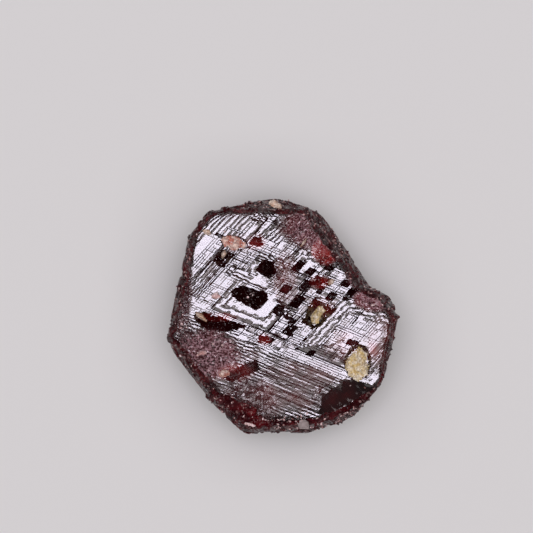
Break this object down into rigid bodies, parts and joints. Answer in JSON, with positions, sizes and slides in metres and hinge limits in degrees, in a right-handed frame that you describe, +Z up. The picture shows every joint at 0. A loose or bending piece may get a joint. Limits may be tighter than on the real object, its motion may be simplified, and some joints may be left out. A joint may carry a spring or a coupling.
{
  "type": "garnet crystal",
  "caption": "Loose dark red garnet crystal with stepped growth terraces and pits, a side shoulder and lodged rock grains, for mineral displays.",
  "frame": {"origin": "on the surface the crystal lies on, under the middle of its bounding box", "axes": "+Z up through the terraced broad face, +X towards the shoulder, +Y towards the crown, away from the broken foot"},
  "size_m": [0.0168, 0.0173, 0.0118],
  "materials": {
    "garnet": "dark red to black garnet, vitreous, clear only in thin edges, finely stepped growth face",
    "quartz": "iron-stained yellow granular quartz, sugary",
    "feldspar": "cream to pink feldspar, dull and granular",
    "mica": "grey-brown mica, soft sheen"
  },
  "bodies": {
    "root": {"garnet_crystal": "garnet", "quartz_grain_shoulder": "quartz", "quartz_grain_notch": "quartz", "feldspar_patch_crown": "feldspar", "feldspar_grain_peak": "feldspar", "feldspar_grain_crack": "feldspar", "feldspar_grain_pit": "feldspar", "feldspar_grain_slot": "feldspar", "feldspar_grain_sliver": "feldspar", "feldspar_grain_round": "feldspar", "feldspar_grain_gully": "feldspar", "feldspar_grain_ember": "feldspar", "feldspar_grain_west": "feldspar", "feldspar_grain_foot": "feldspar", "mica_flake_foot": "mica"}
  },
  "joints": []
}
